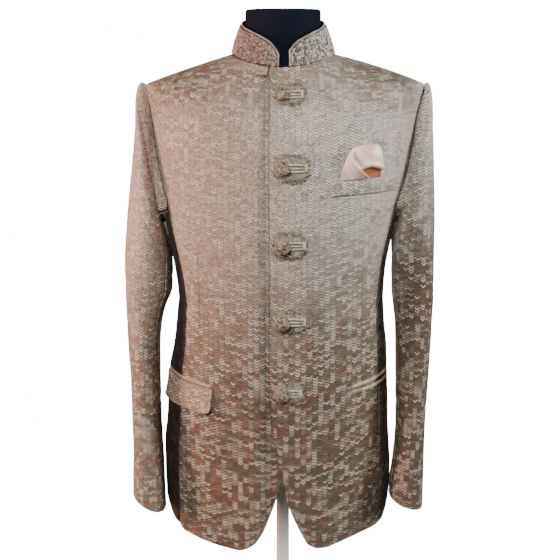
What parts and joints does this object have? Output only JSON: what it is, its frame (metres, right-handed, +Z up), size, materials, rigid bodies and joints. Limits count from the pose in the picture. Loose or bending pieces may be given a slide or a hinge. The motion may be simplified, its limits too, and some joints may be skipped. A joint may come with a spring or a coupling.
{
  "type": "bandhgala jacket on a dress form",
  "caption": "Stand-collar jacket with frog closures, cutaway front and long sleeves, on a limbless dress form with a pole and round base.",
  "frame": {"origin": "middle of the base's underside", "axes": "+Z up, the jacket's front faces -Y, the viewer's right (the wearer's left) is +X"},
  "size_m": [0.4961, 0.3, 1.016],
  "materials": {
    "jacquard": "herringbone jacquard, soft sheen",
    "plain_cloth": "smooth pale suiting",
    "embroidery": "raised looped thread",
    "satin": "satin",
    "jersey": "matte knitted cover",
    "white_enamel": "satin"
  },
  "bodies": {
    "root": {"front_left": "jacquard", "front_right": "jacquard", "back_left": "jacquard", "back_right": "jacquard", "side_body_left": "jacquard", "side_body_right": "jacquard", "sleeve_upper_left": "jacquard", "sleeve_upper_right": "jacquard", "sleeve_under_left": "jacquard", "sleeve_under_right": "jacquard", "pocket_flap": "jacquard", "neck_strip": "plain_cloth", "breast_welt": "plain_cloth", "flap_jet": "plain_cloth", "jet_lower": "plain_cloth", "jet_upper": "plain_cloth", "loop_1": "plain_cloth", "loop_2": "plain_cloth", "loop_3": "plain_cloth", "loop_4": "plain_cloth", "loop_5": "plain_cloth", "collar": "embroidery", "patch_1": "embroidery", "patch_2": "embroidery", "patch_3": "embroidery", "patch_4": "embroidery", "patch_5": "embroidery", "button_1": "embroidery", "button_2": "embroidery", "button_3": "embroidery", "button_4": "embroidery", "button_5": "embroidery", "pocket_square": "satin", "dress_form": "jersey", "form_pole": "white_enamel", "stand_base": "white_enamel"}
  },
  "joints": []
}
